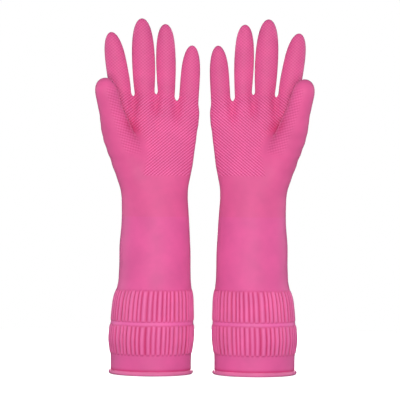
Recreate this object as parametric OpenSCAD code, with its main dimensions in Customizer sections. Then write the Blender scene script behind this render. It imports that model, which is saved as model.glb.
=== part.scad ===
// A pair of long household rubber gloves, standing on their rolled cuffs with the fingers up.
// Units are millimetres. +X is to the right, +Z is up, and both palms face -Y.
// Each glove is drawn as a right-hand glove about its own cuff axis, with the thumb towards +X,
// and then set in its place in the pair. The left-hand glove is its mirror image.

/* [Pair] */
// From the middle of the pair to each cuff's centre
half_pitch = 55.4; // [54:0.2:75]
// Thickness of the rubber
wall = 0.6; // [0.5:0.1:0.9]
// How far the cuffs stand behind the middle of the pair's depth
set_back = 7.9; // [0:0.1:15]

/* [Cuff] */
// Half of the cuff's width at the hem
cuff_rx = 42.6; // [40:0.2:44]
// Half of the cuff's depth at the hem
cuff_ry = 36; // [33:0.2:38]
// Diameter of the rolled bead
bead_d = 4.6; // [3.6:0.2:6]
// Height at which the plain hem ends and the lower ribbed band starts
hem_top = 22; // [16:1:25]
// Height of the lower ribbed band's upper end
lower_band_top = 53; // [45:1:54]
// Height of the upper ribbed band's lower end
upper_band_bottom = 57; // [56:1:62]
// Height of the upper ribbed band's upper end
upper_band_top = 90; // [80:1:92]
// How far the lower band bulges out past the hem
lower_bulge = 1.7; // [0:0.1:3]
// Number of ribs round each band
rib_count = 52; // [40:2:60]
// Height of a rib above the groove beside it
rib_depth = 1.4; // [0.6:0.1:2]

/* [Sleeve] */
// Half of the sleeve's width above the ribbed bands
sleeve_rx = 38.4; // [36:0.2:39]
// Half of the sleeve's depth above the ribbed bands
sleeve_ry = 32.5; // [30:0.2:34]
// Half of the wrist's width
wrist_rx = 35.3; // [33:0.1:37]
// Half of the wrist's depth
wrist_ry = 26; // [24:0.2:28]
// Height of the wrist's bend
wrist_z = 194; // [188:1:198]
// How far the sleeve's middle lies towards the little finger
sleeve_shift = 3.4; // [0:0.1:5]

/* [Palm] */
// Half of the palm's width below the fingers
knuckle_rx = 47.4; // [46:0.1:49]
// Half of the palm's thickness below the fingers
knuckle_ry = 13; // [12:0.1:14]
// Height where the palm ends and the fingers start
knuckle_z = 292; // [288:1:294]

/* [Fingers] */
// Index finger: sideways place of its root
index_x = 34.2; // [33.8:0.1:36]
// Index finger: height of its root
index_z = 299; // [297:0.5:301]
// Index finger: lean towards the thumb, in degrees
index_lean = 9.9; // [8:0.1:12]
// Index finger: length from the root to the tip
index_len = 67.2; // [62:0.5:70]
// Index finger: largest radius
index_r = 11; // [10:0.1:11.2]
// Middle finger: sideways place of its root
middle_x = 8.7; // [8.3:0.1:9.2]
// Middle finger: height of its root
middle_z = 298; // [296:0.5:300]
// Middle finger: lean towards the thumb, in degrees
middle_lean = 2.2; // [1.5:0.1:3]
// Middle finger: length from the root to the tip
middle_len = 82.4; // [78:0.5:88]
// Middle finger: largest radius
middle_r = 11.6; // [10:0.1:11.6]
// Ring finger: sideways place of its root
ring_x = -14.4; // [-15:0.1:-14]
// Ring finger: height of its root
ring_z = 296; // [294:0.5:298]
// Ring finger: lean towards the thumb, in degrees
ring_lean = 1.3; // [0.5:0.1:1.8]
// Ring finger: length from the root to the tip
ring_len = 77.8; // [73:0.5:82]
// Ring finger: largest radius
ring_r = 9.9; // [9:0.1:10.2]
// Little finger: sideways place of its root
little_x = -38.3; // [-39:0.1:-37]
// Little finger: height of its root
little_z = 292; // [290:0.5:294]
// Little finger: lean towards the thumb, in degrees
little_lean = -2.9; // [-5:0.1:-1]
// Little finger: length from the root to the tip
little_len = 59.5; // [55:0.5:63]
// Little finger: largest radius
little_r = 10.4; // [9:0.1:10.6]

/* [Thumb] */
// Thumb: sideways place of its root bend
thumb_x = 39.2; // [38:0.1:40]
// Thumb: how far in front of the palm's middle its root bend lies
thumb_forward = 30.2; // [30:0.1:33]
// Thumb: height of its root bend
thumb_z = 269.7; // [268:0.1:271]
// Thumb: lean away from the fingers, in degrees
thumb_lean = 14.3; // [12:0.1:18]
// Thumb: tilt forward from upright, in degrees
thumb_tilt = 24; // [20:0.5:28]
// Thumb: length from the root bend to the tip
thumb_len = 44.6; // [42:0.2:47]
// Thumb: radius at its root bend
thumb_r = 13.8; // [13:0.1:14.2]

/* [Bending] */
// Gap left between two moving lengths at a bend
bend_gap = 0.3; // [0.2:0.05:0.5]
// Fingers, forward bend at the root, in degrees
root_flex = 60; // [30:1:65]
// Fingers, backward bend at the root, in degrees
root_back = 15; // [0:1:20]
// Fingers, forward bend at the middle joint, in degrees
middle_flex = 70; // [30:1:75]
// Fingers, forward bend at the end joint, in degrees
end_flex = 42; // [20:1:50]
// Wrist, forward bend, in degrees
wrist_flex = 60; // [30:1:65]
// Wrist, backward bend, in degrees
wrist_back = 50; // [20:1:55]
// Thumb, bend across the palm at the root, in degrees
thumb_root_flex = 45; // [20:1:50]
// Thumb, bend outwards at the root, in degrees
thumb_root_back = 20; // [0:1:25]
// Thumb, bend at its end joint, in degrees
thumb_end_flex = 55; // [30:1:60]
// Thumb, backward bend at its end joint, in degrees
thumb_end_back = 10; // [0:1:15]

/* [Hidden] */
SIDES = ["left", "right"];
FINGERS = ["index", "middle", "ring", "little"];
LENGTHS = ["base", "middle", "tip"];
CUFF_PARTS = ["cuff_bead", "cuff_hem", "lower_rib_band", "rib_gap_strip", "upper_rib_band", "sleeve"];
HAND_PARTS = ["palm", "thumb_base", "thumb_tip"];

pink = [0.93, 0.40, 0.64];
deep_pink = [0.87, 0.33, 0.56];
pale_pink = [0.95, 0.50, 0.70];

finger_sides = 16;
sleeve_sides = 40;
hull_sides = 24;
slab = 0.02;

// Where a finger bends, as parts of its length from the root
root_bend = 0.15;
middle_bend = 0.45;
end_bend = 0.73;
// How far each length of a finger curls forward at rest, in degrees
base_curl = 3;
middle_curl = 8;
tip_curl = 14;
// A finger is this much shallower than it is wide
finger_depth = 0.92;
// A finger narrows by this much from root to tip, and by this much more at its very root
finger_taper = 0.05;
root_pinch = 0.08;
pinch_end = 0.35;
// Each finger: root x, root z, lean, length, radius, and where its tip starts to round off
FINGER = [
    [index_x, index_z, index_lean, index_len, index_r, 0.60],
    [middle_x, middle_z, middle_lean, middle_len, middle_r, 0.70],
    [ring_x, ring_z, ring_lean, ring_len, ring_r, 0.66],
    [little_x, little_z, little_lean, little_len, little_r, 0.60]];
// The thumb's end joint and where its tip starts to round off, as parts of its length
thumb_bend = 0.47;
thumb_round = 0.57;
thumb_taper = 0.13;
// The thumb bends about an axis turned this far from straight ahead, in degrees
thumb_twist = -74;

// Centre x, half width and half depth of the glove at a height, from the hem to the wrist
SLEEVE_LINE = [
    [bead_d, 0, cuff_rx, cuff_ry],
    [hem_top, 0, cuff_rx, cuff_ry],
    [(hem_top + lower_band_top) / 2, 0, cuff_rx + lower_bulge, cuff_ry + lower_bulge],
    [lower_band_top, -0.8, cuff_rx + 0.8, cuff_ry + 0.8],
    [upper_band_bottom, -1, cuff_rx + 0.6, cuff_ry + 0.6],
    [(upper_band_bottom + upper_band_top) / 2, -1.5, cuff_rx + 0.3, cuff_ry + 0.3],
    [upper_band_top, -sleeve_shift + 0.4, sleeve_rx + 1.2, sleeve_ry + 1.2],
    [upper_band_top + 7, -sleeve_shift, sleeve_rx, sleeve_ry],
    [150, -sleeve_shift - 0.5, (sleeve_rx + wrist_rx) / 2 - 0.4, (sleeve_ry + wrist_ry) / 2 + 0.5],
    [wrist_z, -2.6, wrist_rx, wrist_ry]];
// Left edge, right edge and half thickness of the palm at a height, from the wrist to the knuckles
PALM_LINE = [
    [wrist_z, -2.6 - wrist_rx, -2.6 + wrist_rx, wrist_ry],
    [214, -41, 37, 23.5],
    [238, -44.4, 40, 18.5],
    [264, -47.6, 43.5, 15],
    [knuckle_z, -1.4 - knuckle_rx, -1.4 + knuckle_rx, knuckle_ry]];
// Centre and radius of each ball of the thumb's root, from the heel of the palm to the root bend
THUMB_ROOT = [
    [20, -3, 220, 19.5],
    [31.5, -14, 243, 16.5],
    [thumb_x, -thumb_forward, thumb_z, thumb_r]];

// A value read off a table of [place, value, value ...] rows
function along(table, place, column) = lookup(place, [for (row = table) [row[0], row[column]]]);

// How far an end draws back from its bend, at a depth in front of (-) or behind (+) the bend's axis
function draw_back(y, flex, back) =
    bend_gap + max(0, -y) * tan(flex / 2 + 1) + max(0, y) * tan(back / 2 + 1);

// Triangles that join rings of n points one after the next, and the last to the first.
// Where capped is set, the rings before it close in an end and the rings after it line it.
function ring_faces(rings, n, capped) = concat(
    [for (i = [0 : rings - 1]) if (capped == undef || i != capped - 1)
        let (k = (i + 1) % rings) for (j = [0 : n - 1]) let (m = (j + 1) % n)
            each [[i * n + j, k * n + j, k * n + m], [i * n + j, k * n + m, i * n + m]]],
    capped == undef ? [] : [
        [for (j = [n - 1 : -1 : 0]) (capped - 1) * n + j],
        [for (j = [0 : n - 1]) capped * n + j]]);

module ring_body(rings, capped) {
    polyhedron(
        points = [for (ring = rings) each ring],
        faces = ring_faces(len(rings), len(rings[0]), capped));
}

// A ring round the glove's own axis; ribs stand proud by rib mm on every second point
function oval_ring(z, cx, rx, ry, n, rib = 0) = [for (j = [0 : n - 1])
    let (a = 360 * j / n, out = j % 2 == 0 ? rib : 0)
        [cx + (rx + out) * cos(a), (ry + out) * sin(a), z]];

function cuff_ring(z, inset, n, rib = 0) =
    oval_ring(z, along(SLEEVE_LINE, z, 1), along(SLEEVE_LINE, z, 2) - inset,
        along(SLEEVE_LINE, z, 3) - inset, n, rib);

// A plain length of the glove between heights, as a thin wall
module cuff_length(heights, n) {
    down = [for (i = [len(heights) - 1 : -1 : 0]) heights[i]];
    ring_body(concat([for (z = heights) cuff_ring(z, 0, n)], [for (z = down) cuff_ring(z, wall, n)]));
}

// A ribbed band, whose ribs swell from nothing at both ends
module rib_band(low, high) {
    run = 4;
    rows = [[low, 0], [low + run, rib_depth], [high - run, rib_depth], [high, 0]];
    back = [for (i = [3 : -1 : 0]) rows[i]];
    n = 2 * rib_count;
    ring_body(concat(
        [for (row = rows) cuff_ring(row[0], rib_depth / 2, n, row[1])],
        [for (row = back) cuff_ring(row[0], rib_depth / 2 + wall, n, row[1])]));
}

module cuff_bead() {
    // The bead's section is eight-sided, so that it is flat where it stands and where the hem meets it
    r = bead_d / 2 / cos(22.5);
    color(deep_pink) ring_body([for (i = [0 : 7]) let (a = -67.5 - 45 * i)
        oval_ring(bead_d / 2 + r * sin(a), 0, cuff_rx + r * cos(a), cuff_ry + r * cos(a), sleeve_sides)]);
}

module cuff_hem() {
    color(pink) cuff_length([bead_d, hem_top], sleeve_sides);
}

module lower_rib_band() {
    color(deep_pink) rib_band(hem_top, lower_band_top);
}

module rib_gap_strip() {
    color(pink) cuff_length([lower_band_top, upper_band_bottom], sleeve_sides);
}

module upper_rib_band() {
    color(deep_pink) rib_band(upper_band_bottom, upper_band_top);
}

// The sleeve's upper end draws back from the wrist's bend in front and behind
module sleeve() {
    heights = [upper_band_top, upper_band_top + 7, 124, 150, 166];
    down = [for (i = [len(heights) - 1 : -1 : 0]) heights[i]];
    color(pink) ring_body(concat(
        [for (z = heights) cuff_ring(z, 0, sleeve_sides)],
        [wrist_ring(0), wrist_ring(wall)],
        [for (z = down) cuff_ring(z, wall, sleeve_sides)]));
}

function wrist_ring(inset) = [for (p = cuff_ring(wrist_z, inset, sleeve_sides))
    [p.x, p.y, wrist_z - draw_back(p.y, wrist_flex, wrist_back)]];

// A slice of the palm at a height, round at both edges
module palm_slice(row, inset) {
    for (x = [row[1] + row[3], row[2] - row[3]])
        translate([x, 0, row[0]]) cylinder(r = row[3] - inset, h = slab, $fn = hull_sides);
}

// A finger's root, from inside the palm to beyond the finger's root bend
module finger_root(f, inset, beyond) {
    at_finger(f) hull() {
        for (s = [-12, root_bend * f[3] + beyond]) translate([0, 0, s])
            scale([1, finger_depth, 1])
                cylinder(r = finger_radius(f, max(0, s)) - inset, h = slab, $fn = finger_sides);
    }
}

// The palm, the roots of the fingers and the ball of the thumb as one solid
module palm_form(inset, beyond) {
    top = len(PALM_LINE) - 1;
    for (i = [0 : top - 1]) hull() {
        palm_slice(PALM_LINE[i], inset);
        translate([0, 0, i + 1 == top ? -inset : 0]) palm_slice(PALM_LINE[i + 1], inset);
    }
    hull() {
        palm_slice(PALM_LINE[0], inset);
        translate([0, 0, -beyond]) palm_slice(PALM_LINE[0], inset);
    }
    for (f = FINGER) finger_root(f, inset, beyond);
    for (i = [0 : len(THUMB_ROOT) - 2]) hull()
        for (ball = [THUMB_ROOT[i], THUMB_ROOT[i + 1]])
            translate([ball[0], ball[1], ball[2]]) sphere(r = ball[3] - inset, $fn = hull_sides);
    at_thumb() translate([0, 0, -6])
        cylinder(r = thumb_r - inset, h = 6 + beyond, $fn = hull_sides);
}

// What lies past a bend, drawn back in front for flex and behind for back
module past_bend(flex, back, reach, width) {
    rotate([90, 0, 90]) linear_extrude(2 * width, center = true) polygon([
        [0, -bend_gap],
        [-reach, -draw_back(-reach, flex, back)], [-reach, 1.5 * reach],
        [reach, 1.5 * reach], [reach, -draw_back(reach, flex, back)]]);
}

module palm() {
    color(pink) difference() {
        palm_form(0, 4);
        palm_form(wall, 6);
        for (f = FINGER) at_finger(f) translate([0, 0, root_bend * f[3]])
            past_bend(root_flex, root_back, 14, f[4] + 1.6);
        at_thumb() past_bend(thumb_root_flex, thumb_root_back, 24, 24);
        translate([0, 0, wrist_z]) mirror([0, 0, 1]) past_bend(wrist_flex, wrist_back, 40, 60);
    }
}

// A finger's own frame: its root is the origin, +Z runs up the finger and -Y is its palm side
module at_finger(f) {
    translate([f[0], 0, f[1]]) rotate([0, f[2], 0]) children();
}

// A finger's radius at a distance from its root
function finger_radius(f, s) = let (t = s / f[3])
    f[4] * (1 - finger_taper * t) * (1 - root_pinch * pow(max(0, 1 - t / pinch_end), 2))
    * rounding(t, f[5]);

function rounding(t, start) = sqrt(max(0, 1 - pow(max(0, (t - start) / (1 - start)), 2)));

function thumb_radius(s) = let (t = s / thumb_len)
    thumb_r * (1 - thumb_taper * t) * rounding(t, thumb_round);

function squeezed_ring(r, n, heights) = [for (j = [0 : n - 1])
    [r * cos(360 * j / n), finger_depth * r * sin(360 * j / n), heights[j]]];

// One length between two bends: radii and heights of its rings, with the first and last rings drawn back
module bent_length(radii, heights, low, high) {
    last = len(radii) - 1;
    n = finger_sides;
    walls = [for (side = [0, 1]) [for (i = [0 : last])
        let (r = radii[i] - side * wall) squeezed_ring(r, n, [for (j = [0 : n - 1])
            let (y = finger_depth * r * sin(360 * j / n))
                i == 0 ? heights[i] + draw_back(y, low[0], low[1])
                : i == last && high != undef ? heights[i] - draw_back(y, high[0], high[1])
                : heights[i] - side * (i == last ? wall : 0)])]];
    inner = [for (i = [last : -1 : 0]) walls[1][i]];
    ring_body(concat(walls[0], inner), high == undef ? last + 1 : undef);
}

module finger_base(f) {
    s = [for (t = [root_bend, 0.3, middle_bend]) t * f[3]];
    color(pink) at_finger(f) translate([0, 0, s[0]]) rotate([base_curl, 0, 0])
        bent_length([for (x = s) finger_radius(f, x)], [for (x = s) x - s[0]],
            [root_flex + 2 * base_curl, root_back], [middle_flex + base_curl, 0]);
}

module at_finger_middle(f) {
    at_finger(f) translate([0, 0, root_bend * f[3]]) rotate([base_curl, 0, 0])
        translate([0, 0, (middle_bend - root_bend) * f[3]]) rotate([middle_curl - base_curl, 0, 0])
            children();
}

module finger_middle(f) {
    s = [for (t = [middle_bend, 0.6, end_bend]) t * f[3]];
    color(pink) at_finger_middle(f) bent_length(
        [for (x = s) finger_radius(f, x)], [for (x = s) x - s[0]],
        [middle_flex + base_curl + middle_curl, 0], [end_flex + base_curl, 0]);
}

module finger_tip(f) {
    s = [for (t = [end_bend, 0.82, 0.9, 0.96, 0.99, 1]) t * f[3]];
    radii = [for (i = [0 : 4]) finger_radius(f, s[i])];
    color(pale_pink) at_finger_middle(f) translate([0, 0, (end_bend - middle_bend) * f[3]])
        rotate([tip_curl - middle_curl, 0, 0]) bent_length(
            radii, [for (i = [0 : 4]) (i < 4 ? s[i] : s[5]) - s[0]],
            [end_flex + tip_curl, 0], undef);
}

// The thumb's own frame: its root bend is the origin, +Z runs up the thumb and -Y is the side it bends to
module at_thumb() {
    translate([thumb_x, -thumb_forward, thumb_z]) rotate([0, thumb_lean, 0])
        rotate([thumb_tilt, 0, 0]) rotate([0, 0, thumb_twist]) children();
}

module thumb_base() {
    s = [for (t = [0, 0.22, thumb_bend]) t * thumb_len];
    color(pink) at_thumb() bent_length(
        [for (x = s) thumb_radius(x)], s,
        [thumb_root_flex, thumb_root_back], [thumb_end_flex, thumb_end_back]);
}

module thumb_tip() {
    s = [for (t = [thumb_bend, 0.62, 0.78, 0.9, 0.97, 1]) t * thumb_len];
    radii = [for (i = [0 : 4]) thumb_radius(s[i])];
    color(pale_pink) at_thumb() translate([0, 0, s[0]]) bent_length(
        radii, [for (i = [0 : 4]) (i < 4 ? s[i] : s[5]) - s[0]],
        [thumb_end_flex, thumb_end_back], undef);
}

// A glove's place in the pair
module in_place(side) {
    translate([side == "left" ? -half_pitch : half_pitch, set_back, 0])
        mirror([side == "left" ? 1 : 0, 0, 0]) children();
}

for (side = SIDES) in_place(side) {
    cuff_bead();
    cuff_hem();
    lower_rib_band();
    rib_gap_strip();
    upper_rib_band();
    sleeve();
    palm();
    thumb_base();
    thumb_tip();
    for (i = [0 : 3]) {
        finger_base(FINGER[i]);
        finger_middle(FINGER[i]);
        finger_tip(FINGER[i]);
    }
}
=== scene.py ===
"""The looks of a pair of long pink household rubber gloves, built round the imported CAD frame.

A glove is worked out in millimetres as a right-hand glove about its own cuff axis, with the thumb towards
+X, the palm towards -Y and the fingers up, and is then put in its place. The left-hand glove is its mirror
image. The hand is the surface where a distance field is zero, cut into one piece for each length that moves
or bends. The cuff and the sleeve are swept as rows of points. Every piece but the solid bead is a closed
wall as thick as the rubber.
"""

import math

import bmesh
import bpy
import numpy as np
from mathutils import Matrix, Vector


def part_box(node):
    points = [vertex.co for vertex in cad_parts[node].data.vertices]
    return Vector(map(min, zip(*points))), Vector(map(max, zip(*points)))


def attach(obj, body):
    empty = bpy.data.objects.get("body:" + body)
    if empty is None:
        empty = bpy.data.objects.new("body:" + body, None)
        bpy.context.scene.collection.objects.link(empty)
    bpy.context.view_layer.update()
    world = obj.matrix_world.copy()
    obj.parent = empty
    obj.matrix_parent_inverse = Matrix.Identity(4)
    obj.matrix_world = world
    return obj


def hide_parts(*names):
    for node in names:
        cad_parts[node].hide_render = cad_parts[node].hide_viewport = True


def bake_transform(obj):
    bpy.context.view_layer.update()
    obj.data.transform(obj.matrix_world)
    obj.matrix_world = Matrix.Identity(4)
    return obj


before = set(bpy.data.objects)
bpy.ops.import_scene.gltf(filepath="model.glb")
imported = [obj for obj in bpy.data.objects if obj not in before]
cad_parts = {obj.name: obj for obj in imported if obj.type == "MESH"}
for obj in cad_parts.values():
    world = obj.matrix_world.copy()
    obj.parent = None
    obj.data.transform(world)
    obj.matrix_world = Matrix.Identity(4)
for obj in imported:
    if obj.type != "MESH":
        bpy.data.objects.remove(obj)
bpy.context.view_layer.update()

MM = 0.001
WALL = 0.6
RIGHT_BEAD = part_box("right_cuff_bead")
GLOVE_X, GLOVE_Y = (sum(corner[axis] for corner in RIGHT_BEAD) / 2 for axis in (0, 1))
SIDES = {"right": 1, "left": -1}

# ---- The glove's form, in millimetres ----

# Height, centre x, half width, half depth and squareness of the cuff, sleeve, wrist and palm
ARM_LINE = [
    (4.6, 0, 42.9, 36.2, 2), (20, 0, 43.1, 36.4, 2), (38, -0.1, 45.1, 38.3, 2), (51, -0.7, 44.6, 37.8, 2),
    (58, -1.1, 44, 37.3, 2), (70, -1.5, 43.3, 36.7, 2), (83, -2.2, 42, 35.6, 2), (90, -2.8, 40.3, 34.2, 2),
    (97, -3.2, 39, 33, 2), (109, -3.3, 38.4, 32.4, 2), (135, -3.5, 37.8, 31.3, 2),
    (160, -3.7, 36.4, 29.3, 2), (175, -3.5, 35.7, 27.8, 2), (190, -2.8, 35.4, 26.2, 2),
    (199, -2.3, 36, 25.2, 2.05), (212, -2.1, 38.7, 23.4, 2.15), (222, -2.4, 40.7, 21.2, 2.25),
    (240, -2.3, 42.9, 18, 2.45), (264, -2.2, 45.8, 14.8, 2.7), (280, -2, 46.9, 12, 2.8),
    (292, -1.6, 47.6, 9.3, 2.8), (306, -1.6, 47.6, 7.5, 2.8)]
# How high the palm reaches between and beside the fingers, against x
WEB_LINE = [
    (-52, 285), (-44, 290.5), (-36, 292.5), (-25.5, 291), (-14, 296), (-3.4, 297.5), (9, 297.5), (21, 295),
    (34, 297), (50, 289)]
WEB_ROUNDING = 9

# Each finger: root x, root z, lean towards the thumb in degrees, length, largest radius, and the stretches
# that bend at its root, middle and end joints, measured from its root
FINGERS = {
    "index": (34.0, 299, 9.8, 66.2, 11.65, ((1.5, 19), (20.8, 39.5), (41.5, 56.5))),
    "middle": (8.95, 298, 2.3, 80.9, 12.4, ((3, 22.5), (26, 48), (52, 68))),
    "ring": (-14.45, 296, 1.2, 77.1, 10.55, ((5.5, 22), (25, 45), (49, 64.5))),
    "little": (-38.2, 292, -3.4, 58.9, 10.5, ((3, 17.8), (18.8, 34.8), (36.8, 50)))}
# Each finger's outline: how much it narrows at its root and up to where, and where its tip starts to round
# off and how bluntly
OUTLINES = {
    "index": (0.08, 0.28, 0.05, 4), "middle": (0.165, 0.46, 0.07, 4.8),
    "ring": (0.17, 0.52, 0.18, 4.8), "little": (0, 0.3, 0.05, 4)}
# Where the palm dips between the roots of two fingers, and the size of a dip
FORKS = [(20.5, 286), (-3, 287.5), (-25.5, 282)]
FORK_WIDTH, FORK_HEIGHT, FORK_DEPTH = 3.3, 9, 5.5
# The middle of the pocket beside the thumb, its size, and how far it leans for each millimetre up
POCKET = (21.5, 264.5)
POCKET_WIDTH, POCKET_HEIGHT, POCKET_DEPTH, POCKET_LEAN = 4.6, 6.5, 5, 0.35
# A finger's depth as a share of its width, how far its tip curls forward, and where the curl starts
FINGER_DEPTH = 0.92
FINGER_CURL = 0.175
CURL_FROM = 0.15
# How far below its root a finger reaches inside the palm
FINGER_BELOW = -22

THUMB_ROOT = np.array([40.5, -30.2, 269.7])
THUMB_LENGTH = 47.6
THUMB_RADIUS = 13.8
THUMB_TAPER = 0.11
THUMB_ROUND = 0.5
THUMB_BLUNT = 3.6
THUMB_BELOW = -4
THUMB_BENDS = ((-4, 12), (12.6, 30))
# The thumb's lean to the side, its tilt forward and its twist, in degrees
THUMB_TURNS = (14.3, 24, -74)
# The ball of the thumb starts in the heel of the palm and bends up into the thumb
HEEL_BALL = np.array([8, -1, 201])
HEEL_BALL_RADIUS = 18
HEEL_BALL_BEND = np.array([28.7, -6, 231])
# How far back along the thumb the curve of its ball is drawn out
THUMB_RUN_IN = 16.5
# The groove where the thumb meets the palm: its depth and its reach to each side
CREASE_DEPTH = 4.5
CREASE_REACH = 2.8

SLEEVE_TOP = 168
WRIST_TOP = 220
RIB_BANDS = {"lower_rib_band": (22, 53), "upper_rib_band": (57, 90)}
RIB_COUNT = 52
RIB_DEPTH = 1.4


def smooth_step(low, high, value):
    t = np.clip((value - low) / (high - low), 0, 1)
    return t * t * (3 - 2 * t)


def curve(table, column, place):
    """A smooth line through one column of a table, against its first column."""
    at = np.array([row[0] for row in table], float)
    value = np.array([row[column] for row in table], float)
    slope = np.gradient(value, at)
    place = np.clip(place, at[0], at[-1])
    i = np.clip(np.searchsorted(at, place, side="right") - 1, 0, len(at) - 2)
    span = at[i + 1] - at[i]
    t = (place - at[i]) / span
    return (
        value[i] * (2 * t**3 - 3 * t**2 + 1) + value[i + 1] * (3 * t**2 - 2 * t**3)
        + span * (slope[i] * (t**3 - 2 * t**2 + t) + slope[i + 1] * (t**3 - t**2)))


def soft_min(a, b, width):
    """The smaller of two distances, rounded where they are within width of each other."""
    near = np.maximum(0, 1 - np.abs(a - b) / width)
    return np.minimum(a, b) - near * near * width / 4


def rounded_cut(a, b, radius):
    """What lies inside both distances, with a round edge."""
    over = np.hypot(np.maximum(a + radius, 0), np.maximum(b + radius, 0))
    return np.minimum(-radius, np.maximum(a, b)) + over


def arm_distance(x, y, z):
    centre, width, depth, power = (curve(ARM_LINE, column, z) for column in (1, 2, 3, 4))
    u = np.abs(x - centre) / width
    v = np.abs(y) / depth
    n = (u**power + v**power) ** (1 / power) + 1e-6
    slope = np.hypot((u / n) ** (power - 1) / width, (v / n) ** (power - 1) / depth)
    return (n - 1) / slope


def tube_distance(across, deep, along, radius, length, round_from, blunt, root):
    """A tube that ends in a round tip at length, and below in a round end at root."""
    start = round_from * length
    u = across / radius
    v = deep / (FINGER_DEPTH * radius)
    tip = np.maximum(0, along - start) / (length - start)
    base = np.maximum(0, root - along) / radius
    n = np.sqrt(u * u + v * v + tip**blunt + base * base) + 1e-6
    slope = np.sqrt(
        (u / radius) ** 2 + (v / (FINGER_DEPTH * radius)) ** 2
        + (blunt / 2 * tip ** (blunt - 1) / (length - start)) ** 2 + (base / radius) ** 2) / n
    return (n - 1) / slope


def along_finger(name, x, z):
    """Distances across and along a finger from its root."""
    root_x, root_z, lean = FINGERS[name][:3]
    lean = math.radians(lean)
    dx, dz = x - root_x, z - root_z
    return dx * math.cos(lean) - dz * math.sin(lean), dx * math.sin(lean) + dz * math.cos(lean)


def finger_distance(name, x, y, z):
    length, radius = FINGERS[name][3:5]
    narrowing, narrow_to, round_from, blunt = OUTLINES[name]
    across, along = along_finger(name, x, z)
    t = np.clip(along / length, 0, 1)
    curl = FINGER_CURL * length * np.maximum(0, along / length - CURL_FROM) ** 2
    r = radius * (1 - narrowing * np.maximum(0, 1 - t / narrow_to) ** 2)
    return tube_distance(across, y + curl, along, r, length, round_from, blunt, FINGER_BELOW)


def all_fingers_distance(x, y, z):
    return np.minimum.reduce([finger_distance(name, x, y, z) for name in FINGERS])


def thumb_axes():
    """The thumb's own directions: across, the way it bends, and along."""
    lean, tilt, twist = (math.radians(a) for a in THUMB_TURNS)
    turn_y = np.array([
        [math.cos(lean), 0, math.sin(lean)],
        [0, 1, 0],
        [-math.sin(lean), 0, math.cos(lean)]])
    turn_x = np.array([
        [1, 0, 0],
        [0, math.cos(tilt), -math.sin(tilt)],
        [0, math.sin(tilt), math.cos(tilt)]])
    turn_z = np.array([
        [math.cos(twist), -math.sin(twist), 0],
        [math.sin(twist), math.cos(twist), 0],
        [0, 0, 1]])
    return (turn_y @ turn_x @ turn_z).T


THUMB_AXES = thumb_axes()


def along_thumb(x, y, z):
    """Distances across, in the bend's way and along the thumb from its root bend."""
    dx, dy, dz = x - THUMB_ROOT[0], y - THUMB_ROOT[1], z - THUMB_ROOT[2]
    return [a[0] * dx + a[1] * dy + a[2] * dz for a in THUMB_AXES]


def cone_distance(x, y, z, ball_a, ball_b):
    """A straight run from one ball to the next."""
    (ax, ay, az), ra = ball_a
    (bx, by, bz), rb = ball_b
    sx, sy, sz = bx - ax, by - ay, bz - az
    run = sx * sx + sy * sy + sz * sz
    t = np.clip(((x - ax) * sx + (y - ay) * sy + (z - az) * sz) / run, 0, 1)
    gap = np.sqrt((x - ax - t * sx) ** 2 + (y - ay - t * sy) ** 2 + (z - az - t * sz) ** 2)
    return gap - (ra + t * (rb - ra))


def thumb_balls():
    """Centres and radii along the ball of the thumb, from the heel of the palm to the thumb's root."""
    into = THUMB_ROOT - THUMB_RUN_IN * THUMB_AXES[2]
    balls = []
    for t in np.linspace(0, 1, 7):
        centre = (
            (1 - t) ** 3 * HEEL_BALL + 3 * (1 - t) ** 2 * t * HEEL_BALL_BEND
            + 3 * (1 - t) * t**2 * into + t**3 * THUMB_ROOT)
        balls.append((centre, HEEL_BALL_RADIUS + t**2 * (THUMB_RADIUS - HEEL_BALL_RADIUS)))
    return balls


THUMB_BALLS = thumb_balls()


def thumb_distance(x, y, z):
    across, deep, along = along_thumb(x, y, z)
    radius = THUMB_RADIUS * (1 - THUMB_TAPER * np.clip(along / THUMB_LENGTH, 0, 1))
    away = tube_distance(
        across, deep, along, radius, THUMB_LENGTH, THUMB_ROUND, THUMB_BLUNT, THUMB_BELOW)
    for ball_a, ball_b in zip(THUMB_BALLS, THUMB_BALLS[1:]):
        away = soft_min(away, cone_distance(x, y, z, ball_a, ball_b), 3)
    return away


def palm_distance(x, y, z):
    return rounded_cut(arm_distance(x, y, z), z - curve(WEB_LINE, 1, x), WEB_ROUNDING)


def wobble(x, y, z):
    """The slow unevenness of thin rubber, in millimetres."""
    waves = [
        (0.11, 0.05, 0.06, 0.4), (-0.07, 0.10, 0.11, 1.9), (0.15, -0.12, 0.035, 4.1),
        (0.04, 0.16, -0.15, 2.6)]
    total = sum(np.sin(a * x + b * y + c * z + d) for a, b, c, d in waves)
    return 0.12 * total * (1 - 0.75 * smooth_step(285, 300, z))


def fork_dips(x, z):
    """Where the palm dips between the fingers' roots, 0 to 1."""
    return sum(
        np.exp(-(((x - fork_x) / FORK_WIDTH) ** 2 + ((z - fork_z) / FORK_HEIGHT) ** 2) / 2)
        for fork_x, fork_z in FORKS)


def pocket_dip(x, z):
    """The pocket between the palm and the thumb, 0 to 1: it leans as the thumb does."""
    rise = z - POCKET[1]
    across = (x - POCKET[0] - POCKET_LEAN * rise) / POCKET_WIDTH
    return np.exp(-(across**2 + (rise / POCKET_HEIGHT) ** 2) / 2)


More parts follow.
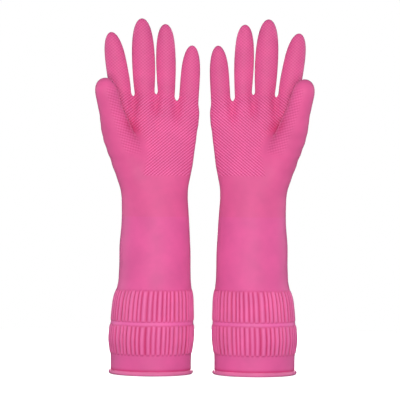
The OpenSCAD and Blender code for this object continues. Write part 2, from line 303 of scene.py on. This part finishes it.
def hand_distance(x, y, z):
    """Distance from the hand's skin before the grip pattern: negative inside."""
    front = smooth_step(0, 8, -y)
    hand = soft_min(palm_distance(x, y, z), all_fingers_distance(x, y, z), 6)
    thumb = thumb_distance(x, y, z)
    beside = smooth_step(255, 264, z) * smooth_step(296, 280, z)
    crease = CREASE_DEPTH * np.exp(-(((thumb - hand) / CREASE_REACH) ** 2)) * beside
    hand = hand + crease + POCKET_DEPTH * pocket_dip(x, z) * front
    rounding = 11 - 7.5 * smooth_step(246, 264, z)
    hand = soft_min(hand, thumb, rounding) + FORK_DEPTH * fork_dips(x, z) * front
    hollow = 1.6 * np.exp(-((x + 4) ** 2 + (z - 256) ** 2) / (2 * 14.0**2)) * front
    heel = 1.2 * np.exp(-((x + 24) ** 2 + (z - 226) ** 2) / (2 * 12.0**2)) * front
    return hand + hollow - heel - wobble(x, y, z)


def gradient(field, p, step=0.05):
    """The slope of a field at points, by differences."""
    slopes = []
    for axis in range(3):
        shift = np.zeros(3)
        shift[axis] = step
        ahead, behind = (p + shift).T, (p - shift).T
        slopes.append((field(*ahead) - field(*behind)) / (2 * step))
    return np.stack(slopes, 1)


def unit(v):
    return v / np.maximum(np.linalg.norm(v, axis=1, keepdims=True), 1e-9)


def onto_surface(field, p, rounds=3):
    """Points moved along the field's slope to where it is zero."""
    for _ in range(rounds):
        slope = gradient(field, p)
        size = np.maximum(np.einsum("ij,ij->i", slope, slope), 0.05)
        p = p - np.clip(field(*p.T) / size, -1, 1)[:, None] * slope
    return p


# ---- The grip pattern ----

PATTERN_HEIGHT = 0.5


def ridges(a, b, turn, pitch):
    """Rounded ridges, 0 to 1, whose lines lie at turn degrees."""
    turn = math.radians(turn)
    return 0.5 + 0.5 * np.cos(2 * math.pi * (b * math.cos(turn) - a * math.sin(turn)) / pitch)


def palm_pattern(x, z):
    """A lattice of small raised diamonds, deepest along the lines that fall towards the thumb."""
    share = 0.8 - 0.28 * smooth_step(292, 304, z)
    return share * ridges(x, z, -40, 2.53) + (1 - share) * ridges(x, z, 43, 2.4)


def thumb_pattern(x, z):
    """Short rows that climb away from the palm."""
    return 0.7 * ridges(x, z, 16, 2.75) + 0.3 * ridges(x, z, 100, 2.6)


# The way that the thumb's patterned side faces
THUMB_GRIP_SIDE = np.array([-1, 0, 0])
# How much lower the pattern is on the fingers, and how high it is on the thumb, as shares of the palm's
FINGER_DROP = 0.56
THUMB_SHARE = 0.5
# Where the palm's pattern ends beside the thumb, against height
CREASE_LINE = [
    (205, 15), (214, 14), (228, 9), (240, 8), (250, 11), (257, 16), (263, 23), (270, 34), (276, 50),
    (320, 62)]


def grip_masks(p, normal):
    """How far the palm's and the thumb's patterns are raised at points, 0 to 1."""
    x, y, z = p.T
    facing = smooth_step(0.3, 0.6, -normal[:, 1])
    above_wrist = smooth_step(210, 213, z) * (1 - FINGER_DROP * smooth_step(288, 306, z))
    on_thumb = thumb_distance(x, y, z) - np.minimum(palm_distance(x, y, z), all_fingers_distance(x, y, z))
    beside = curve(CREASE_LINE, 1, z)
    palm = facing * above_wrist * smooth_step(0, 8, beside - x) * smooth_step(-1, 2, on_thumb)
    # Low down, a plain strip lies between the palm's pattern and the thumb's
    clear = smooth_step(2, 5, x - beside + 60 * smooth_step(250, 262, z))
    lengthways = smooth_step(231, 240, z) * smooth_step(307, 298, z)
    towards_palm = smooth_step(0.05, 0.3, normal @ THUMB_GRIP_SIDE)
    thumb = THUMB_SHARE * towards_palm * lengthways * smooth_step(0, 2, -on_thumb) * clear
    return palm, thumb


# ---- Meshing the hand ----

GRID = 1.0
# The grid's ends along x, y and z: the lowest lies below the sleeve's top, where the hand's skin is cut off
HAND_BOX = ((-54, 66), (-60, 30), (164, 384))


def hand_grid():
    """The hand's distance at every point of a grid, and the grid's first point."""
    lines = [np.arange(low, high, GRID) for low, high in HAND_BOX]
    x, y, z = np.meshgrid(*lines, indexing="ij", sparse=True)
    return hand_distance(x, y, z), [line[0] for line in lines]


def surface_net():
    """Points and four-sided faces where the hand's distance is zero."""
    field, origin = hand_grid()
    inside = field < 0
    corners = [(a, b, c) for a in (0, 1) for b in (0, 1) for c in (0, 1)]
    size = [n - 1 for n in field.shape]
    filled = sum(
        inside[a:a + size[0], b:b + size[1], c:c + size[2]].astype(np.int8) for a, b, c in corners)
    cells = np.argwhere((filled > 0) & (filled < 8))
    total = np.zeros((len(cells), 3))
    crossings = np.zeros(len(cells))
    for corner in corners:
        for axis in range(3):
            if corner[axis]:
                continue
            end = list(corner)
            end[axis] = 1
            fa = field[tuple((cells + corner).T)]
            fb = field[tuple((cells + end).T)]
            crossed = (fa < 0) != (fb < 0)
            t = np.where(crossed, fa / np.where(crossed, fa - fb, 1), 0)
            place = np.tile(np.array(corner, float), (len(cells), 1))
            place[:, axis] = t
            total += place * crossed[:, None]
            crossings += crossed
    points = (cells + total / crossings[:, None]) * GRID + origin
    number = np.full(size, -1, np.int32)
    number[tuple(cells.T)] = np.arange(len(cells))
    quads = []
    for axis in range(3):
        b, c = (axis + 1) % 3, (axis + 2) % 3
        low, high = [slice(1, -1)] * 3, [slice(1, -1)] * 3
        low[axis], high[axis] = slice(0, -1), slice(1, None)
        first, second = inside[tuple(low)], inside[tuple(high)]
        for leaving in (True, False):
            edge = np.argwhere((first == leaving) & (second != leaving))
            edge += [0 if i == axis else 1 for i in range(3)]
            ring = []
            for db, dc in ((-1, -1), (0, -1), (0, 0), (-1, 0)):
                cell = edge.copy()
                cell[:, b] += db
                cell[:, c] += dc
                ring.append(number[tuple(cell.T)])
            quads.append(np.stack(ring if leaving else ring[::-1], 1))
    return points, np.concatenate(quads)


def relaxed(points, quads, rounds=4):
    """The net's points evened out along the surface."""
    ends = np.concatenate([quads[:, [i, (i + 1) % 4]] for i in range(4)])
    count = np.bincount(ends[:, 0], minlength=len(points))
    for _ in range(rounds):
        mean = np.stack([
            np.bincount(ends[:, 0], weights=points[ends[:, 1], k], minlength=len(points))
            for k in range(3)], 1)
        mean /= np.maximum(count, 1)[:, None]
        open_edge = points[:, 2] < HAND_BOX[2][0] + 2 * GRID
        points = np.where(open_edge[:, None], points, points + 0.5 * (mean - points))
        points = onto_surface(hand_distance, points, 1)
    return onto_surface(hand_distance, points)


def finger_cuts(name):
    """Where a finger's skin is divided, measured from its root."""
    bends = FINGERS[name][5]
    return [bends[0][0], (bends[0][1] + bends[1][0]) / 2, (bends[1][1] + bends[2][0]) / 2]


def nearest_part(centre):
    """The name of the part that each point lies on: a finger, thumb or palm."""
    x, y, z = centre.T
    names = [*FINGERS, "thumb", "palm"]
    away = [finger_distance(name, x, y, z) for name in FINGERS]
    away += [thumb_distance(x, y, z), palm_distance(x, y, z)]
    return np.array(names)[np.argmin(away, 0)]


def face_centres(bm):
    return np.array([f.calc_center_median() for f in bm.faces])


def cut_across(bm, part, along, place, point, direction):
    """Divides the faces of one part where they cross a plane."""
    centre = face_centres(bm)
    chosen = (np.abs(along(centre) - place) < 3) & (nearest_part(centre) == part)
    bm.faces.ensure_lookup_table()
    faces = [bm.faces[i] for i in np.flatnonzero(chosen)]
    edges = {e for f in faces for e in f.edges}
    verts = {v for f in faces for v in f.verts}
    bmesh.ops.bisect_plane(
        bm, geom=[*verts, *edges, *faces], dist=0.02, plane_co=point, plane_no=direction)


def finger_place(name, s):
    """A point on a finger's straight axis and the axis's direction."""
    root_x, root_z, lean = FINGERS[name][:3]
    lean = math.radians(lean)
    direction = Vector((math.sin(lean), 0, math.cos(lean)))
    return Vector((root_x, 0, root_z)) + s * direction, direction


def thumb_place(s):
    direction = Vector(THUMB_AXES[2])
    return Vector(THUMB_ROOT) + s * direction, direction


def thumb_cuts():
    return [THUMB_BENDS[0][0], (THUMB_BENDS[0][1] + THUMB_BENDS[1][0]) / 2]


def cut_hand():
    """The hand's skin as one bmesh, with edges along every line where it is divided."""
    points, quads = surface_net()
    points = relaxed(points, quads)
    mesh = bpy.data.meshes.new("hand")
    mesh.from_pydata(points, [], quads.tolist())
    bm = bmesh.new()
    bm.from_mesh(mesh)
    bpy.data.meshes.remove(mesh)
    up = Vector((0, 0, 1))
    for height in (SLEEVE_TOP, WRIST_TOP):
        bmesh.ops.bisect_plane(
            bm, geom=[*bm.verts, *bm.edges, *bm.faces], dist=0.02,
            plane_co=up * height, plane_no=up, clear_inner=height == SLEEVE_TOP)
    for name in FINGERS:
        for s in finger_cuts(name):
            cut_across(bm, name, lambda c, n=name: along_finger(n, c[:, 0], c[:, 2])[1],
                       s, *finger_place(name, s))
    for s in thumb_cuts():
        cut_across(bm, "thumb", lambda c: along_thumb(*c.T)[2], s, *thumb_place(s))
    return bm


def piece_labels(centre):
    """The name of the piece that each face belongs to."""
    part = nearest_part(centre)
    label = np.where(centre[:, 2] < WRIST_TOP, "wrist_skin", "palm_skin").astype("<U24")
    for name in FINGERS:
        along = along_finger(name, centre[:, 0], centre[:, 2])[1]
        for s, length in zip(finger_cuts(name), ("root", "middle", "end")):
            label[(part == name) & (along > s)] = f"{name}_{length}_skin"
    along = along_thumb(*centre.T)[2]
    for s, length in zip(thumb_cuts(), ("root", "end")):
        label[(part == "thumb") & (along > s)] = f"thumb_{length}_skin"
    return label


# How much painted shade darkens the pocket and the dips between the fingers
POCKET_PAINTED_SHADE = 0.42
FORK_PAINTED_SHADE = 0.2


class Piece:
    """A closed wall: points, faces, point normals, the relief shade that paints shade and highlights into
    its colour, and which faces are the inside.
    """

    def __init__(self, name, points, faces, normals, relief, inside):
        self.name = name
        self.points = points
        self.faces = faces
        self.normals = normals
        self.relief = relief
        self.inside = inside


def skin_wall(points, faces):
    """Outer faces, an inner copy one wall further in, and the rims that join them."""
    count = len(points)
    inward = unit(gradient(hand_distance, points))
    edges = {(f[i - 1], f[i]) for f in faces for i in range(len(f))}
    rims = [(b, a, a + count, b + count) for a, b in edges if (b, a) not in edges]
    inner = [[i + count for i in reversed(f)] for f in faces]
    return np.concatenate([points, points - WALL * inward]), faces + inner + sorted(rims)


def refined(points, faces):
    """The wall as a bmesh whose gripping faces are divided in four."""
    mesh = bpy.data.meshes.new("wall")
    mesh.from_pydata(points, [], faces)
    bm = bmesh.new()
    bm.from_mesh(mesh)
    bpy.data.meshes.remove(mesh)
    bm.verts.ensure_lookup_table()
    outer = np.arange(len(points)) < len(points) // 2
    palm, thumb = grip_masks(points, unit(gradient(hand_distance, points)))
    gripping = (np.maximum(palm, thumb) > 0.02) & outer
    edges = [e for e in bm.edges if gripping[e.verts[0].index] and gripping[e.verts[1].index]]
    bmesh.ops.subdivide_edges(bm, edges=edges, cuts=1, use_grid_fill=True)
    return bm


def grip_piece(name, points, faces):
    """A finished piece of the hand's skin with its grip pattern raised."""
    bm = refined(*skin_wall(points, faces))
    bm.verts.index_update()
    p = np.array([v.co for v in bm.verts])
    faces = [[v.index for v in f.verts] for f in bm.faces]
    bm.free()
    outer = hand_distance(*p.T) > -WALL / 2
    normal = unit(gradient(hand_distance, p))
    palm, thumb = grip_masks(p, normal)

    def raised(x, y, z):
        pattern = palm * palm_pattern(x, z) + thumb * thumb_pattern(x, z)
        return hand_distance(x, y, z) - PATTERN_HEIGHT * pattern

    x, z = p[:, 0], p[:, 2]
    # The grip pattern's grooves are painted darker and its ridges paler: painted shade and a painted
    # highlight
    relief = 0.5 + palm * (palm_pattern(x, z) - 0.5) + thumb * (thumb_pattern(x, z) - 0.5)
    # Painted shade in the pocket beside the thumb and in the dips between the fingers
    front = smooth_step(0.1, 0.5, -normal[:, 1]) * smooth_step(0, 8, -p[:, 1])
    relief = relief - front * (POCKET_PAINTED_SHADE * pocket_dip(x, z) + FORK_PAINTED_SHADE * fork_dips(x, z))
    relief = np.where(outer, np.clip(relief, 0, 1), 0.5)
    lifted = onto_surface(raised, p)
    lifted_normal = unit(gradient(raised, lifted))
    p = np.where(outer[:, None], lifted, p)
    normal = np.where(outer[:, None], lifted_normal, -normal)
    inside = np.array([not all(outer[i] for i in f) for f in faces])
    return Piece(name, p, faces, normal, relief, inside)


def hand_pieces():
    bm = cut_hand()
    bm.verts.index_update()
    points = np.array([v.co for v in bm.verts])
    faces = [[v.index for v in f.verts] for f in bm.faces]
    labels = piece_labels(face_centres(bm))
    bm.free()
    made = []
    for name in sorted(set(labels)):
        own = [faces[i] for i in np.flatnonzero(labels == name)]
        used = sorted({i for f in own for i in f})
        number = {old: new for new, old in enumerate(used)}
        made.append(grip_piece(name, points[used], [[number[i] for i in f] for f in own]))
    return made


# ---- The cuff and the sleeve ----

RIB_SAMPLES = 8
COLUMNS = RIB_COUNT * RIB_SAMPLES
RIB_END = 3.5
SEED = 11
BEAD_TOP = ARM_LINE[0][0]
BEAD_RADIUS = BEAD_TOP / 2
BEAD_COLUMNS = 208
BEAD_SIDES = 20


def rib_shape(angle, z):
    """Height of the ribs above the middle of their depth, and the relief shade, 0 to 1: painted shade in
    the grooves and along the bands' ends, a painted highlight on the ribs, and painted light on the strip
    between the bands.
    """
    rng = np.random.default_rng(SEED)
    sway = 0.14 * np.sin(7 * angle + 1) + 0.08 * np.sin(17 * angle + 2.2)
    turns = angle / (2 * math.pi) * RIB_COUNT + sway
    rib = np.floor(turns).astype(int) % RIB_COUNT
    across = 1 - np.abs(2 * (turns - np.floor(turns)) - 1) ** 2
    height = np.zeros(np.broadcast(angle, z).shape)
    relief = np.full_like(height, 0.5)
    for low, high in RIB_BANDS.values():
        uneven = rng.uniform(-0.5, 0.5, RIB_COUNT)[rib]
        tall = rng.uniform(0.9, 1.1, RIB_COUNT)[rib]
        end = np.clip(np.minimum(z - low, high + uneven - z) / RIB_END, 0, 1)
        swell = np.sqrt(1 - (1 - end) ** 2)
        height = height + swell * RIB_DEPTH * (across * tall - 0.5)
        # Painted shade in each groove, of a different depth for each rib, and a painted highlight on the
        # ribs' tops
        deep = rng.uniform(0.45, 0.85, RIB_COUNT)[rib]
        relief = relief + swell * ((0.26 + deep) * across - deep)
        # Painted shade along the bands' top and bottom ends
        ends = np.exp(-(((z - low) / 0.9) ** 2)) + np.exp(-(((z - high - uneven) / 0.9) ** 2))
        relief = relief - 0.2 * across * ends
    # Painted light on the strip between the bands, which lies in shade
    (_, strip_low), (strip_high, _) = RIB_BANDS.values()
    strip_painted_light = smooth_step(strip_low - 0.2, strip_low + 1.2, z)
    strip_painted_light = strip_painted_light * smooth_step(strip_high + 0.2, strip_high - 1.2, z)
    return height, np.clip(relief + 0.26 * strip_painted_light, 0, 1)


def cuff_surface(angle, z):
    """Points on the outside of the cuff and sleeve."""
    centre, width, depth = (curve(ARM_LINE, column, z) for column in (1, 2, 3))
    x, y = width * np.cos(angle), depth * np.sin(angle)
    nx, ny = np.cos(angle) / width, np.sin(angle) / depth
    size = np.hypot(nx, ny)
    ribs = rib_shape(angle, z)[0]
    out = ribs + wobble(x + centre, y, z) * smooth_step(88, 100, z)
    return np.stack([x + centre + out * nx / size, y + out * ny / size, z + 0 * angle], -1)


def swept_normals(surface, angle, z):
    turn = surface(angle + 0.002, z) - surface(angle - 0.002, z)
    rise = surface(angle, z + 0.05) - surface(angle, z - 0.05)
    return unit(np.cross(turn, rise).reshape(-1, 3))


def ring_faces(rings, columns):
    """Faces of closed rings joined one after the next, and the last to the first."""
    faces = []
    for i in range(rings):
        k = (i + 1) % rings
        for j in range(columns):
            m = (j + 1) % columns
            faces.append([i * columns + j, i * columns + m, k * columns + m, k * columns + j])
    return faces


def cuff_piece(name, heights, columns):
    """A length of the cuff or sleeve as a closed wall."""
    angle = np.arange(columns) / columns * 2 * math.pi
    angle, z = np.meshgrid(angle, heights)
    outer = cuff_surface(angle, z)
    normals = swept_normals(cuff_surface, angle, z).reshape(outer.shape)
    inner = outer - WALL * normals
    inner[..., 2] = z
    points = np.concatenate([outer, inner[::-1]]).reshape(-1, 3)
    faces = ring_faces(2 * len(heights), columns)
    normals = np.concatenate([normals, -normals[::-1]]).reshape(-1, 3)
    # Painted shade on the hem just above the bead
    relief = rib_shape(angle, z)[1] - 0.45 * smooth_step(8, 5, z)
    relief = np.concatenate([relief, np.full_like(z, 0.5)]).reshape(-1)
    inside = np.arange(len(faces)) >= (len(heights) - 1) * columns
    return Piece(f"{name}_skin", points, faces, normals, relief, inside)


def bead_piece():
    """The rolled rim, slightly uneven round its length."""
    angle = np.arange(BEAD_COLUMNS) / BEAD_COLUMNS * 2 * math.pi
    roll = -np.arange(BEAD_SIDES) / BEAD_SIDES * 2 * math.pi
    angle, roll = np.meshgrid(angle, roll)
    thick = BEAD_RADIUS + 0.08 * np.sin(5 * angle + 1) + 0.06 * np.sin(11 * angle)
    out = thick * np.cos(roll)
    width, depth = ARM_LINE[0][2:4]
    height = BEAD_RADIUS * (1 + np.sin(roll))
    points = np.stack([(width + out) * np.cos(angle), (depth + out) * np.sin(angle), height], -1)
    normals = np.stack([np.cos(roll) * np.cos(angle), np.cos(roll) * np.sin(angle), np.sin(roll)], -1)
    faces = [face[::-1] for face in ring_faces(BEAD_SIDES, BEAD_COLUMNS)]
    return Piece(
        "cuff_bead_skin", points.reshape(-1, 3), faces, unit(normals.reshape(-1, 3)),
        np.full(BEAD_SIDES * BEAD_COLUMNS, 0.5), np.zeros(len(faces), bool))


def cuff_pieces():
    lower, upper = RIB_BANDS.values()
    rows = {
        "cuff_hem": np.linspace(BEAD_TOP, lower[0], 15),
        "lower_rib_band": np.linspace(*lower, 42),
        "rib_gap_strip": np.linspace(lower[1], upper[0], 9),
        "upper_rib_band": np.linspace(*upper, 44),
        "sleeve": np.linspace(upper[1], SLEEVE_TOP, 64)}
    made = [cuff_piece(name, heights, COLUMNS // 2 if name == "sleeve" else COLUMNS)
            for name, heights in rows.items()]
    return made + [bead_piece()]


# ---- Materials ----


# The share of its red, green and blue that the rubber keeps down in a groove: painted shade, with a ridge
# painted as much paler for a painted highlight
GROOVE_PAINTED_SHADE = (0.80, 0.34, 0.52)
# How fine the slow clouding and the skin's own grain are
CLOUD_SCALE = 45
SKIN_SCALE = 900


def painted_shade_tone(nodes, links, colour):
    """The rubber's colour, with painted shade down in a groove and a painted highlight along a ridge."""
    relief = nodes.new("ShaderNodeAttribute")
    relief.attribute_name = "relief"
    tone = nodes.new("ShaderNodeMix")
    tone.data_type = "RGBA"
    tone.inputs["A"].default_value = (*(c * low for c, low in zip(colour, GROOVE_PAINTED_SHADE)), 1)
    tone.inputs["B"].default_value = (*(c * (2 - low) for c, low in zip(colour, GROOVE_PAINTED_SHADE)), 1)
    links.new(relief.outputs["Fac"], tone.inputs["Factor"])
    return tone.outputs["Result"]


def noise(nodes, links, place, scale, detail):
    texture = nodes.new("ShaderNodeTexNoise")
    texture.inputs["Scale"].default_value = scale
    texture.inputs["Detail"].default_value = detail
    links.new(place.outputs["Object"], texture.inputs["Vector"])
    return texture.outputs["Fac"]


def stretched(nodes, links, value, source, target):
    """A value taken from one range to another."""
    stretch = nodes.new("ShaderNodeMapRange")
    for label, ends in (("From", source), ("To", target)):
        stretch.inputs[f"{label} Min"].default_value = ends[0]
        stretch.inputs[f"{label} Max"].default_value = ends[1]
    links.new(value, stretch.inputs["Value"])
    return stretch.outputs["Result"]


def fine_skin(nodes, links, place, grain):
    bump = nodes.new("ShaderNodeBump")
    bump.inputs["Strength"].default_value = grain
    bump.inputs["Distance"].default_value = 0.0002
    links.new(noise(nodes, links, place, SKIN_SCALE, 3), bump.inputs["Height"])
    return bump.outputs["Normal"]


def rubber(name, colour, roughness, grain):
    """Dipped rubber: painted shade down in the pattern and a painted highlight on its ridges, faintly
    clouded, with a fine skin.
    """
    material = bpy.data.materials.new(name)
    material.use_nodes = True
    nodes, links = material.node_tree.nodes, material.node_tree.links
    shader = nodes["Principled BSDF"]
    shader.inputs["Specular IOR Level"].default_value = 0.25
    shader.inputs["Diffuse Roughness"].default_value = 0.45
    shader.inputs["Sheen Weight"].default_value = 0.07
    shader.inputs["Sheen Roughness"].default_value = 0.5
    place = nodes.new("ShaderNodeTexCoord")
    cloud = noise(nodes, links, place, CLOUD_SCALE, 4)
    tint = nodes.new("ShaderNodeVectorMath")
    tint.operation = "SCALE"
    links.new(painted_shade_tone(nodes, links, colour), tint.inputs[0])
    links.new(stretched(nodes, links, cloud, (0.3, 0.7), (0.94, 1.05)), tint.inputs["Scale"])
    links.new(tint.outputs["Vector"], shader.inputs["Base Color"])
    uneven = stretched(nodes, links, cloud, (0, 1), (roughness - 0.05, roughness + 0.07))
    links.new(uneven, shader.inputs["Roughness"])
    links.new(fine_skin(nodes, links, place, grain), shader.inputs["Normal"])
    return material


def materials():
    return {
        "plain_rubber": rubber("plain_rubber", (0.83, 0.128, 0.385), 0.55, 0.10),
        "grip_rubber": rubber("grip_rubber", (0.82, 0.128, 0.355), 0.58, 0.12),
        "ribbed_rubber": rubber("ribbed_rubber", (0.84, 0.14, 0.385), 0.52, 0.08),
        # The bead's rubber is a paler copy of the rubber: a painted highlight along the rolled rim
        "bead_rubber": rubber("bead_rubber", (0.86, 0.20, 0.44), 0.48, 0.08),
        "inside": rubber("inside_rubber", (0.86, 0.18, 0.42), 0.62, 0.2)}


# ---- Putting the pieces in the frame ----


def placed(side, x, y, z):
    """A point of the right-hand glove, in its place for that side, in metres."""
    way = SIDES[side]
    return way * (GLOVE_X + x * MM), GLOVE_Y + y * MM, z * MM


def add_piece(side, piece, outside, inside):
    way = SIDES[side]
    points = np.stack(placed(side, *piece.points.T), 1)
    faces = piece.faces if way > 0 else [list(reversed(f)) for f in piece.faces]
    mesh = bpy.data.meshes.new(f"{side}_{piece.name}")
    mesh.from_pydata(points, [], faces)
    mesh.materials.append(outside)
    mesh.materials.append(inside)
    mesh.polygons.foreach_set("material_index", piece.inside.astype(np.int32))
    mesh.polygons.foreach_set("use_smooth", np.ones(len(faces), bool))
    # relief carries the painted shade and painted highlights that the rubber's colour follows
    attribute = mesh.attributes.new("relief", "FLOAT", "POINT")
    attribute.data.foreach_set("value", piece.relief.astype(np.float32))
    mesh.normals_split_custom_set_from_vertices(piece.normals * [way, 1, 1])
    obj = bpy.data.objects.new(mesh.name, mesh)
    bpy.context.scene.collection.objects.link(obj)
    return obj


def bend_piece(obj):
    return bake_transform(obj)


def hold_hand_piece(obj, side, name):
    """Ties the palm's skin to the palm's body, and leaves every other piece of the hand's skin where it is;
    the part that the palm, a finger length or a thumb length stands for is hidden.
    """
    part, length = name.split("_")[:2]
    if name == "palm_skin":
        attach(obj, f"{side}_palm")
        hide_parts(f"{side}_palm")
        return "grip_rubber"
    if name == "wrist_skin":
        bend_piece(obj)
        return "grip_rubber"
    if part == "thumb":
        step = ("root", "end").index(length)
        chain = ("palm", "thumb_base", "thumb_tip")
    else:
        step = ("root", "middle", "end").index(length)
        chain = ("palm", f"{part}_base", f"{part}_middle", f"{part}_tip")
    bend_piece(obj)
    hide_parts(f"{side}_{chain[step + 1]}")
    return "grip_rubber"


CUFF_SLOTS = {
    "cuff_hem": "plain_rubber", "lower_rib_band": "ribbed_rubber", "rib_gap_strip": "plain_rubber",
    "upper_rib_band": "ribbed_rubber", "sleeve": "plain_rubber", "cuff_bead": "bead_rubber"}


def build_gloves():
    finish = materials()
    for piece in hand_pieces():
        for side in SIDES:
            obj = add_piece(side, piece, finish["grip_rubber"], finish["inside"])
            hold_hand_piece(obj, side, piece.name)
    for piece in cuff_pieces():
        node = piece.name.removesuffix("_skin")
        slot = CUFF_SLOTS[node]
        for side in SIDES:
            obj = add_piece(side, piece, finish[slot], finish["inside"])
            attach(obj, f"{side}_sleeve")
            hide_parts(f"{side}_{node}")


# ---- Stage ----

# Each light: its place, its size and its power
LIGHTS = {
    "front": ((0, GLOVE_Y - 1, 0.22), 0.5, 8.0),
    "front_left": ((-1.45, -1.65, 0.45), 0.9, 5.8),
    "front_right": ((1.45, -1.65, 0.45), 0.9, 5.8),
    "left": ((-2.3, 0.7, 0.6), 1, 16),
    "right": ((2.3, 0.7, 0.6), 1, 16),
    "back": ((0, 2.6, 0.5), 1, 42)}
CAMERA_DISTANCE = 2
CAMERA_LENS = 168.2
CAMERA_ROLL = -0.008


def area_light(name, place, target, size, power):
    data = bpy.data.lights.new(name, "AREA")
    data.shape = "DISK"
    data.size = size
    data.energy = power
    obj = bpy.data.objects.new(name, data)
    obj.location = place
    obj.rotation_euler = (Vector(target) - Vector(place)).to_track_quat("-Z", "Y").to_euler()
    obj.visible_camera = False
    bpy.context.scene.collection.objects.link(obj)


def build_floor():
    bm = bmesh.new()
    bmesh.ops.create_circle(bm, cap_ends=True, segments=96, radius=0.7)
    mesh = bpy.data.meshes.new("floor")
    bm.to_mesh(mesh)
    bm.free()
    material = bpy.data.materials.new("floor")
    material.use_nodes = True
    shader = material.node_tree.nodes["Principled BSDF"]
    shader.inputs["Base Color"].default_value = (0.9, 0.9, 0.9, 1)
    shader.inputs["Roughness"].default_value = 0.9
    shader.inputs["Emission Color"].default_value = (1, 1, 1, 1)
    shader.inputs["Emission Strength"].default_value = 1
    mesh.materials.append(material)
    floor = bpy.data.objects.new("floor", mesh)
    bpy.context.scene.collection.objects.link(floor)
    floor.visible_diffuse = False
    floor.visible_glossy = False


def build_camera():
    """A long lens level with the palms, turned a little as the gloves are seen."""
    data = bpy.data.cameras.new("camera")
    data.lens = CAMERA_LENS
    data.sensor_width = 36
    camera = bpy.data.objects.new("camera", data)
    camera.location = (-0.0042, GLOVE_Y - CAMERA_DISTANCE, 0.186)
    camera.rotation_euler = (math.pi / 2, CAMERA_ROLL, 0)
    bpy.context.scene.collection.objects.link(camera)
    bpy.context.scene.camera = camera


def build_stage():
    """A white floor and surround, soft light from the front, sides and back, and the camera."""
    scene = bpy.context.scene
    scene.view_settings.view_transform = "Standard"
    world = bpy.data.worlds.new("surround")
    world.use_nodes = True
    world.node_tree.nodes["Background"].inputs["Color"].default_value = (1, 1, 1, 1)
    world.node_tree.nodes["Background"].inputs["Strength"].default_value = 1
    scene.world = world
    world.cycles_visibility.diffuse = False
    world.cycles_visibility.glossy = False
    build_floor()
    middle = (0, GLOVE_Y, 0.19)
    for name, (place, size, power) in LIGHTS.items():
        area_light(name, place, middle, size, power)
    build_camera()


build_stage()
build_gloves()
